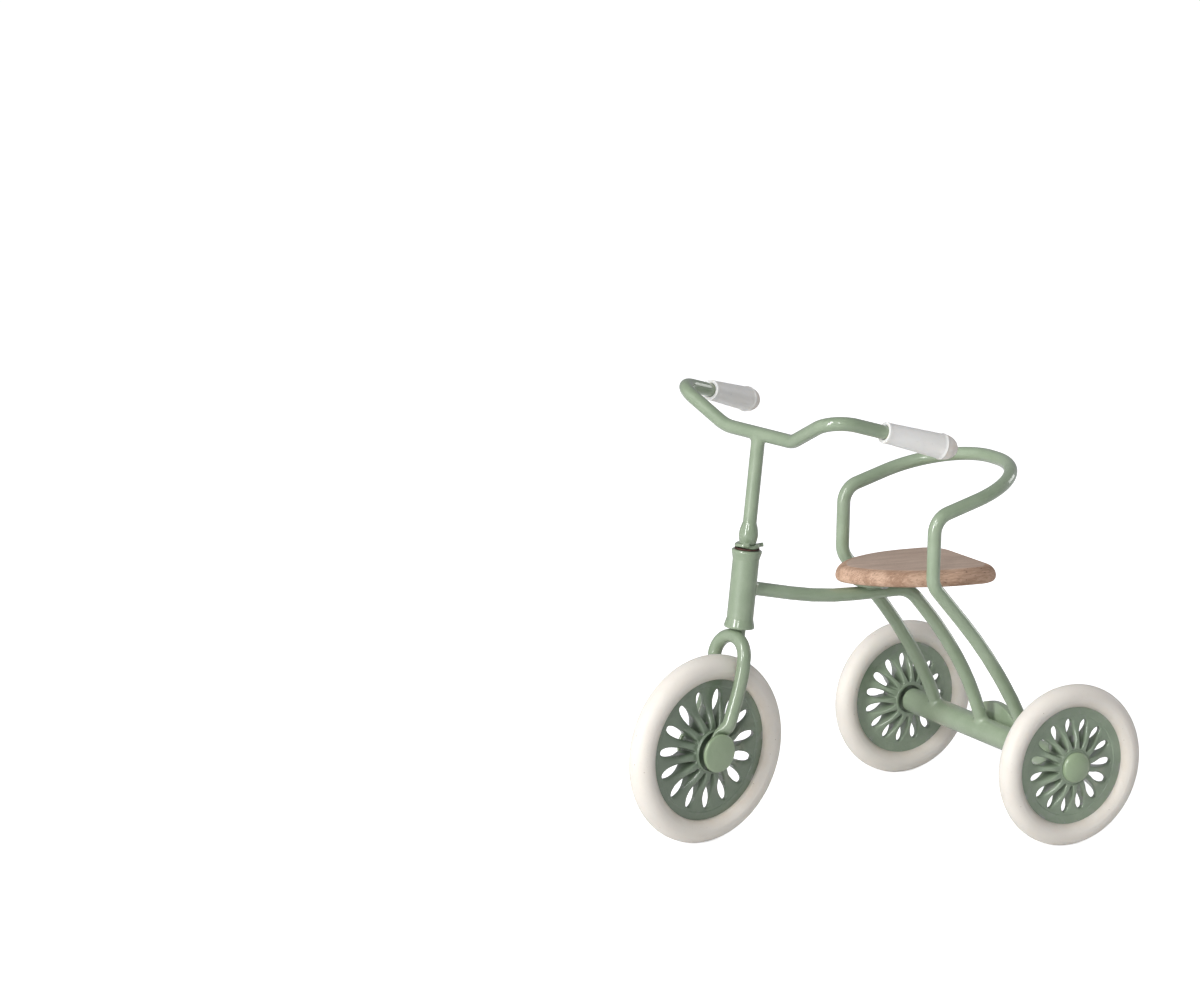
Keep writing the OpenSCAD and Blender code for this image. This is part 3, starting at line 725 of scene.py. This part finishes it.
# Spring clip: a ring open to the rear, its ends bent outward into two lugs, wavy as a bent strip is
clip_line = []
open_a = math.radians(24)
for a in np.linspace(open_a, 2 * math.pi - open_a, 61):
    clip_line.append([-2.15 * math.cos(a), 2.15 * math.sin(a), 0.0])
clip_line = [[-3.25, clip_line[0][1] + 0.55, 0.28]] + [[-2.6, clip_line[0][1] + 0.12, 0.12]] + clip_line + \
            [[-2.6, clip_line[-1][1] - 0.12, -0.1], [-3.2, clip_line[-1][1] - 0.6, -0.12]]
clip_line = np.array(clip_line) + [0, 0, CLIP_W + CLIP_T / 2]
for i, p in enumerate(clip_line):
    clip_line[i, 2] += 0.10 * math.sin(3 * math.atan2(p[1], p[0]) + 0.6)
shape = Shape().add(*rod(clip_line, side=(0, 0, 1), sides=24, sizes=[(0.42, 0.62, 3.2)] * len(clip_line)))
lug = np.array([[1.30, 1.45, 0.0], [1.75, 1.80, 0.06], [2.15, 2.10, 0.35], [2.35, 2.25, 0.75], [2.42, 2.30, 1.05]])
shape.add(*rod(lug + [0, 0, CLIP_W + CLIP_T / 2], side=(0, 0, 1), sides=24, sizes=[(0.36, 0.70, 3.2)] * len(lug)))
make("spring_clip", shape, STEER, PAINT_STEER_SHADED, "steering", ["retaining_clip"], crease=50)

# Fork: the ends of the rod are pressed flat and spread into round eyes, wider towards the front
EYE_R, EYE_T, EYE_IN = 3.6, 0.4, 3.2
up_way = np.array([4.75 - RAKE, 0, 4.6])
up_way /= np.linalg.norm(up_way)


def blade_section(d):
    """Half thickness, half width, squareness, middle and forward shift of the blade, d above the axle."""
    swell = float(smooth((d - 4.0) / 2.6))
    half_t = EYE_T + (ROD_R - EYE_T) * swell
    if d < 2.0:
        half_w = math.sqrt(max(EYE_R ** 2 - d * d, 0.03))
    else:
        t = min((d - 2.0) / 4.8, 1.0)
        start_w = math.sqrt(EYE_R ** 2 - 4.0)
        half_w = (2 * t ** 3 - 3 * t ** 2 + 1) * start_w + (t ** 3 - 2 * t ** 2 + t) * 4.8 * -0.42 + (3 * t ** 2 - 2 * t ** 3) * ROD_R
    shift = 0.25 * math.sin(math.pi * min(max((d - 0.8) / 6.6, 0.0), 1.0)) ** 2
    return half_t, half_w, 2 + 2.4 * (1 - swell), EYE_IN + half_t + 0.05 * swell, shift


side_path = with_steps(bent([[RAKE, 0, 0], [4.75, 0, 4.6], [2.3, 0, 14.5], [ARCH_U, 0, ARCH_W]], [9, 40]), 0.35)
distances = np.concatenate([[0.0], np.cumsum(np.linalg.norm(np.diff(side_path, axis=0), axis=1))])
below = EYE_R * np.sin(np.linspace(math.pi / 2, 0, 14)[:-1])
rows = [(side_path[0] - up_way * d, -d) for d in below] + list(zip(side_path, distances))
legs, sizes = [], []
for p, d in rows:
    half_t, half_w, square, v, shift = blade_section(d)
    if p[2] < ARCH_W - BLADE_V - 0.4:
        legs.append([p[0] + shift, v, p[2]])
        sizes.append((half_t, half_w, square))
arch = bent([FORK_SIDE[1], FORK_SIDE[2], flip(FORK_SIDE[2]), flip(FORK_SIDE[1])], [BLADE_V - 0.01, BLADE_V - 0.01], step=5)[1:-1]
legs = np.array(legs)
fork_path = np.vstack([legs, arch, legs[::-1] * [1, -1, 1]])
fork_sizes = sizes + [(ROD_R, ROD_R, 2.0)] * len(arch) + sizes[::-1]
shape = Shape().add(*rod(fork_path, side=(0, 1, 0), sizes=fork_sizes))
make("fork_bent", shape, STEER, PAINT_STEER_SHADED, "steering", ["fork"], crease=45)

# Grips: soft tapered sleeves with a mould ring where the domed end begins
GRIP_R, GRIP_OPEN_R, GRIP_L = 2.78, 2.3, 18.5
for side, s in (("left", 1), ("right", -1)):
    tip, top = np.array(BAR_TIP) * [1, s, 1], np.array(BAR_TOP) * [1, s, 1]
    way = (top - tip) / np.linalg.norm(top - tip)
    across = np.cross(way, Z)
    across /= np.linalg.norm(across)
    outline, tones = [], []
    for a in np.linspace(0, math.pi / 2, 20):
        outline.append((GRIP_R * 0.985 * math.sin(a) ** 0.94, GRIP_END * (1 - math.cos(a))))
        tones.append(0.8)
    outline += [(GRIP_R + 0.09, GRIP_END + 0.08), (GRIP_R + 0.12, GRIP_END + 0.22), (GRIP_R + 0.05, GRIP_END + 0.36),
                (GRIP_R - 0.06, GRIP_END + 0.5)]
    tones += [0.5, 0.1, 0.0, 0.0]
    for t in np.linspace(0.0, 1.0, 30):
        z = GRIP_END + 0.9 + (GRIP_L - 0.9 - GRIP_END - 0.9) * t
        outline.append((GRIP_R - 0.08 + (GRIP_OPEN_R - GRIP_R + 0.04) * t + 0.012 * math.sin(z * 1.9), z))
        tones.append(0.0)
    outline += [(GRIP_OPEN_R + 0.02, GRIP_L - 0.55), (GRIP_OPEN_R + 0.07, GRIP_L - 0.25),
                (GRIP_OPEN_R + 0.03, GRIP_L - 0.02), (GRIP_OPEN_R - 0.12, GRIP_L + 0.02), (ROD_R + 0.12, GRIP_L - 0.12),
                (ROD_R + 0.02, GRIP_L - 0.6), (ROD_R + 0.02, GRIP_END - 0.1), (0.0, GRIP_END - 0.2)]
    tones += [0.0] * 8
    points, faces = turn_about(outline, 72)
    per_point = []
    for (r, z), tone in zip(outline, tones):
        per_point += [tone] * (1 if r < 1e-9 else 72)
    points = np.array(points) @ np.array([across, np.cross(way, across), way]) + tip + [0, 0, BAR_W]
    shape = Shape().add(points, faces, per_point)
    make("soft_grip_" + side, shape, STEER, GRIP, "steering", ["grip_" + side], crease=50)

# ------------------------------------------------------------------ wheels
WINDOWS = 15


def window_outline(tip_r, out_r, wide, count):
    """Half of a petal shaped opening, from its narrow inner end over its widest place to its outer end."""
    narrow, widest = 0.3, tip_r + 0.70 * (out_r - tip_r)
    half = [[tip_r + narrow + narrow * math.cos(a), narrow * math.sin(a)] for a in np.linspace(math.pi, math.pi / 2, 4)]
    first = half[-1][0]
    for t in np.linspace(0, 1, count)[1:-1]:
        half.append([first + (widest - first) * t, narrow + (wide - narrow) * math.sin(math.pi / 2 * t) ** 1.15])
    for a in np.linspace(0, math.pi / 2, 11):
        half.append([widest + (out_r - widest) * math.sin(a), wide * math.cos(a)])
    return np.array(half)


def face_height(r, face):
    """Height of a web's face: its edge height, its hub height, and the radii between which it climbs."""
    low, top, from_r, to_r = face
    return low + (top - low) * float(smooth((from_r - r) / (from_r - to_r)))


def finned_rim(edge_r, web_r, window_r, hub_r, outer, inner, phase, centre_profile, wide):
    """A cast rim: crested fins between petal shaped openings, a flat outer ring and a turned hub."""
    e, groove, crest, corner = 0.75, 1.0, 0.17, 0.15
    half_angle = math.pi / WINDOWS
    half = window_outline(hub_r + 0.2, window_r, wide, 14)
    n = len(half)
    inner_count, outer_count = 4, 8
    side_count = n - inner_count - outer_count
    boundary = [[hub_r, half_angle * k / inner_count] for k in range(inner_count)]
    boundary += [[hub_r + (web_r - hub_r) * k / side_count, half_angle] for k in range(side_count)]
    boundary += [[web_r, half_angle * (1 - k / (outer_count - 1))] for k in range(outer_count)]
    turns = np.linspace(0, math.pi / 2, 8)

    def column(k, mirror):
        p = half[k]
        b = boundary[k][0] * np.array([math.cos(boundary[k][1]), math.sin(boundary[k][1])])
        gap = np.linalg.norm(b - p)
        way = (b - p) / max(gap, 1e-9)
        lateral = 1 - (way @ p / np.linalg.norm(p)) ** 2
        reach = min(max(corner + (gap - crest - corner) * lateral, 0.08), 0.9 * gap)

        def side(face, sign):
            out = []
            for a in turns:
                q = p + way * reach * (1 - math.cos(a))
                h = face_height(np.linalg.norm(q), face)
                drop = (corner + (0.72 * h - corner) * lateral) * (1 - math.sin(a))
                out.append((q[0], q[1], sign * (h - drop), 0.7 * math.cos(a) ** 4))
            for f in (0.5, 1.0):
                q = p + way * (reach + (gap - reach) * f)
                out.append((q[0], q[1], sign * face_height(np.linalg.norm(q), face), 0.0))
            return out

        front, rear = side(outer, 1), side(inner, -1)
        hi, lo = front[0][2], rear[0][2]
        walls = [(p[0], p[1], hi + (lo - hi) * t, 1.0) for t in (0.15, 0.38, 0.62, 0.85)]
        return [(x, -y if mirror else y, z, t) for x, y, z, t in front[::-1] + walls + rear]

    loop = [column(k, False) for k in range(n)] + [column(k, True) for k in range(n - 2, 0, -1)]
    size, count = len(loop[0]), len(loop)
    points = np.array(loop).reshape(-1, 4)
    strips = [[a * size + k, (a + 1) % count * size + k, (a + 1) % count * size + k + 1, a * size + k + 1]
              for a in range(count) for k in range(size - 1)]
    shape = Shape()
    ring_angles, hub_angles = [], []
    ring_steps = [half_angle * (1 - k / (outer_count - 1)) for k in range(outer_count)]
    hub_steps = [half_angle * k / inner_count for k in range(inner_count + 1)]
    for i in range(WINDOWS):
        turn = 2 * math.pi * (i + phase) / WINDOWS
        c, s = math.cos(turn), math.sin(turn)
        moved = np.stack([points[:, 0] * c - points[:, 1] * s, points[:, 0] * s + points[:, 1] * c, points[:, 2]], 1)
        shape.add(moved, strips, points[:, 3] * (0.55 + 0.45 * math.sin(i * 2.4 + 0.8)))
        ring_angles += [turn - a for a in ring_steps] + [turn + a for a in ring_steps[-2:0:-1]]
        hub_angles += [turn - a for a in hub_steps[::-1]] + [turn + a for a in hub_steps[1:-1]]

    def band(profile, angles, tone=0.0, edge_tone=0.6):
        pts = [[r * math.cos(a), r * math.sin(a), z] for r, z in profile for a in angles]
        tones = [edge_tone if abs(r - edge_r) < 0.35 else tone for r, z in profile for a in angles]
        shape.add(pts, grid_faces(len(profile), len(angles)), tones)

    step = [(web_r + 0.07, 0.02), (web_r + 0.13, 0.5), (web_r + 0.20, 0.93), (web_r + 0.34, 1.0)]
    rise = [(r, outer[0] + (e - outer[0]) * t) for r, t in step]
    fall = [(r, -inner[0] - (e - inner[0]) * t) for r, t in step]
    ring = [(web_r, outer[0])] + rise + [(edge_r - 0.5, e), (edge_r - 0.3, e), (edge_r + groove - 0.15, e), (edge_r + groove, e - 0.15)]
    ring += [(edge_r + groove, 0.15 - e), (edge_r + groove - 0.15, -e), (edge_r - 0.3, -e), (edge_r - 0.5, -e)] + fall[::-1] + [(web_r, -inner[0])]
    band(ring, ring_angles, 0.12)
    band(centre_profile(face_height(hub_r, outer), -face_height(hub_r, inner)), hub_angles)
    return shape


def rear_hub(top, low):
    """The hub from the fins' outer end, over its rounded shoulder, through the bore to the socket at the back."""
    r = 3.95
    out = [(r, top), (r - 0.02, top + 0.06), (r - 0.10, HUB_OUT - 0.14), (r - 0.26, HUB_OUT - 0.04), (r - 0.45, HUB_OUT)]
    out += [(3.0, HUB_OUT), (2.0, HUB_OUT), (1.26, HUB_OUT - 0.04), (1.26, -1.35), (2.95, -1.35), (3.1, -1.5)]
    out += [(3.15, -1.7), (3.15, -3.18), (3.22, -3.30), (3.36, -3.35), (3.72, -3.35), (3.88, -3.30), (r, low)]
    return out


def front_hub(top, low):
    r, face, cup = 4.8, 3.0, 1.85
    side = [(r, top), (r - 0.02, top + 0.05), (r - 0.04, face - 0.14), (r - 0.12, face - 0.03), (r - 0.24, face),
            (r - 0.36, face - 0.03), (r - 0.46, face - 0.14), (r - 0.5, face - 0.3), (r - 0.52, cup + 0.18), (r - 0.68, cup),
            (2.35, cup), (2.2, cup + 0.15), (2.2, face - 0.12), (2.08, face), (1.35, face), (1.26, face - 0.08)]
    return side + [(a, -b) for a, b in side[::-1]]


def tyre_shape(outer_r, section_r, edge_r, ridge):
    """A soft round tyre whose inner edge swells a little over the rim."""
    centre = outer_r - section_r
    outline, tones = [], []
    half_t = 0.76
    for a in np.linspace(0, math.pi, 44):
        ang = -a
        r = centre + section_r * math.cos(ang)
        z = section_r * math.sin(a)
        if r < edge_r + 0.02:
            break
        bulge = ridge * math.exp(-((a - 1.75) / 0.045) ** 2) - 0.35 * ridge * math.exp(-((a - 1.86) / 0.05) ** 2)
        out_r = r + bulge * math.cos(ang)
        out_z = z + bulge * math.sin(a)
        outline.append((out_r, out_z))
        # Tone rises towards the rim: the tyre's material paints shade there, in the crease against the rim, with a
        # brownish stain.
        near = np.clip((edge_r + 2.1 - out_r) / 2.1, 0, 1)
        tones.append(float(near ** 1.8))
    last_z = outline[-1][1]
    outline += [(edge_r - 0.02, last_z - 0.12), (edge_r - 0.02, half_t - 0.02), (edge_r + 0.9, half_t - 0.02)]
    tones += [1.0, 1.0, 1.0]
    lower = [(r, -z) for r, z in outline[:0:-1]]
    full = outline + lower
    all_tones = tones + tones[:0:-1]
    count = 160
    points, faces = turn_about(full, count, closed=True)
    return Shape().add(points, faces, np.repeat(all_tones, count))


for side, place, body, phase in (("left", REAR_LEFT, "rear_wheel_left", 0.25), ("right", REAR_RIGHT, "rear_wheel_right", 0.75)):
    shape = finned_rim(13.1, 11.0, 10.6, 3.95, (0.6, 2.1, 9.8, 5.0), (0.8, 3.2, 11.0, 3.95), phase, rear_hub, 0.95)
    make("finned_rim_" + side, shape, place, CAST_REAR, body, ["rear_rim_" + side], crease=42, merge=0.004)
    shape = tyre_shape(18.0, 2.52, 13.1, 0.03)
    make("ivory_tyre_" + side, shape, place, TYRE, body, ["rear_tyre_" + side], crease=45)
FRONT_FACE = (0.6, 2.4, 11.4, 5.8)
shape = finned_rim(15.7, 13.85, 13.45, 4.8, FRONT_FACE, FRONT_FACE, 0.75, front_hub, 1.02)
# The front rim's darker cast paint is painted shade.
make("finned_rim_front", shape, FRONT_LEFT, CAST_FRONT_SHADED, "front_wheel", ["front_rim"], crease=42, merge=0.004)
shape = tyre_shape(20.85, 2.85, 15.7, 0.035)
make("ivory_tyre_front", shape, FRONT_LEFT, TYRE, "front_wheel", ["front_tyre"], crease=45)

# CAD nodes whose shape is right get their surface here
for node, material in (("seat_screws", STEEL), ("rear_axle_pin", STEEL), ("front_axle_pin", STEEL), ("steering_washer", RUST)):
    mesh = frame["nodes"][node].data
    mesh.materials.clear()
    mesh.materials.append(material)

# ------------------------------------------------------------------ studio
target = Vector(BIKE[0] + [100.125, 0, 77.265]) * MM
azimuth, elevation, roll, distance = math.radians(151.24), math.radians(11.01), math.radians(1.71), 0.8696
back = Vector((math.sin(azimuth) * math.cos(elevation), -math.cos(azimuth) * math.cos(elevation), math.sin(elevation)))
right = Vector((0, 0, 1)).cross(back).normalized()
up = back.cross(right)
right_rolled = right * math.cos(roll) + up * math.sin(roll)
up_rolled = back.cross(right_rolled)
camera_data = bpy.data.cameras.new("camera")
camera_data.sensor_width = 36.0
camera_data.lens = 123.8
camera_data.clip_start = 0.01
camera = bpy.data.objects.new("camera", camera_data)
camera.matrix_world = Matrix((right_rolled, up_rolled, back)).transposed().to_4x4()
camera.location = target + back * distance
bpy.context.scene.collection.objects.link(camera)
bpy.context.scene.camera = camera


def area_light(name, to_right, to_up, to_back, size, power, tall=None):
    """A soft light, placed by how far it is to the camera's right, above, and behind it, in metres."""
    light = bpy.data.lights.new(name, "AREA")
    light.shape = "RECTANGLE"
    light.size = size
    light.size_y = tall or size
    light.energy = power
    obj = bpy.data.objects.new(name, light)
    centre = Vector((0.0, 0.0, 0.05))
    flat = Vector((back.x, back.y, 0)).normalized()
    obj.location = centre + right * to_right + Vector((0, 0, 1)) * to_up + flat * to_back
    obj.rotation_euler = (centre - obj.location).to_track_quat("-Z", "Y").to_euler()
    bpy.context.scene.collection.objects.link(obj)
    return obj


area_light("key", -0.74, 0.62, 0.78, 0.20, 8.8, 0.72)
area_light("low_strip", -0.74, 0.12, 0.78, 0.16, 2.6, 0.30)
area_light("front", -0.22, 0.46, 0.95, 0.12, 1.9, 0.26)
area_light("fill", -0.9, 0.35, 0.1, 0.9, 1.25)
area_light("rim", 0.8, 0.25, -0.55, 0.35, 1.2)

world = bpy.data.worlds.new("studio")
bpy.context.scene.world = world
world.use_nodes = True
tree = world.node_tree
tree.nodes.clear()
out = tree.nodes.new("ShaderNodeOutputWorld")
sky = tree.nodes.new("ShaderNodeBackground")
sky.inputs[0].default_value = (0.95, 0.96, 1.0, 1)
sky.inputs[1].default_value = 0.35
seen = tree.nodes.new("ShaderNodeBackground")
seen.inputs[0].default_value = (1, 1, 1, 1)
seen.inputs[1].default_value = 1.0
path = tree.nodes.new("ShaderNodeLightPath")
pick = tree.nodes.new("ShaderNodeMixShader")
tree.links.new(path.outputs["Is Camera Ray"], pick.inputs[0])
tree.links.new(sky.outputs[0], pick.inputs[1])
tree.links.new(seen.outputs[0], pick.inputs[2])
tree.links.new(pick.outputs[0], out.inputs[0])
bpy.context.scene.view_settings.view_transform = "Standard"

floor_points, floor_faces = turn_about([(0.0, 0.0), (0.4, 0.0), (1.5, 0.0), (6.0, 0.0)], 64)
floor_mesh = bpy.data.meshes.new("floor")
floor_mesh.from_pydata(floor_points, [], floor_faces)
floor_look = Looks("pale_floor")
shade = floor_look.between(floor_look.noise(0.01, 2.0), 0.3, 0.7)
floor_mesh.materials.append(floor_look.done(floor_look.mix(shade, (0.88, 0.88, 0.88), (0.86, 0.86, 0.86)), 0.9))
lift = floor_look.tree.nodes.new("ShaderNodeEmission")
lift.inputs["Strength"].default_value = 0.74
both = floor_look.tree.nodes.new("ShaderNodeAddShader")
seen_directly = floor_look.tree.nodes.new("ShaderNodeMixShader")
eye_path = floor_look.tree.nodes.new("ShaderNodeLightPath")
last = next(n for n in floor_look.tree.nodes if n.type == "OUTPUT_MATERIAL")
for socket, value in ((both.inputs[0], floor_look.shader.outputs[0]), (both.inputs[1], lift.outputs[0]),
                      (seen_directly.inputs[0], eye_path.outputs["Is Camera Ray"]),
                      (seen_directly.inputs[1], floor_look.shader.outputs[0]),
                      (seen_directly.inputs[2], both.outputs[0]), (last.inputs[0], seen_directly.outputs[0])):
    floor_look.put(socket, value)
floor = bpy.data.objects.new("floor", floor_mesh)
bpy.context.scene.collection.objects.link(floor)
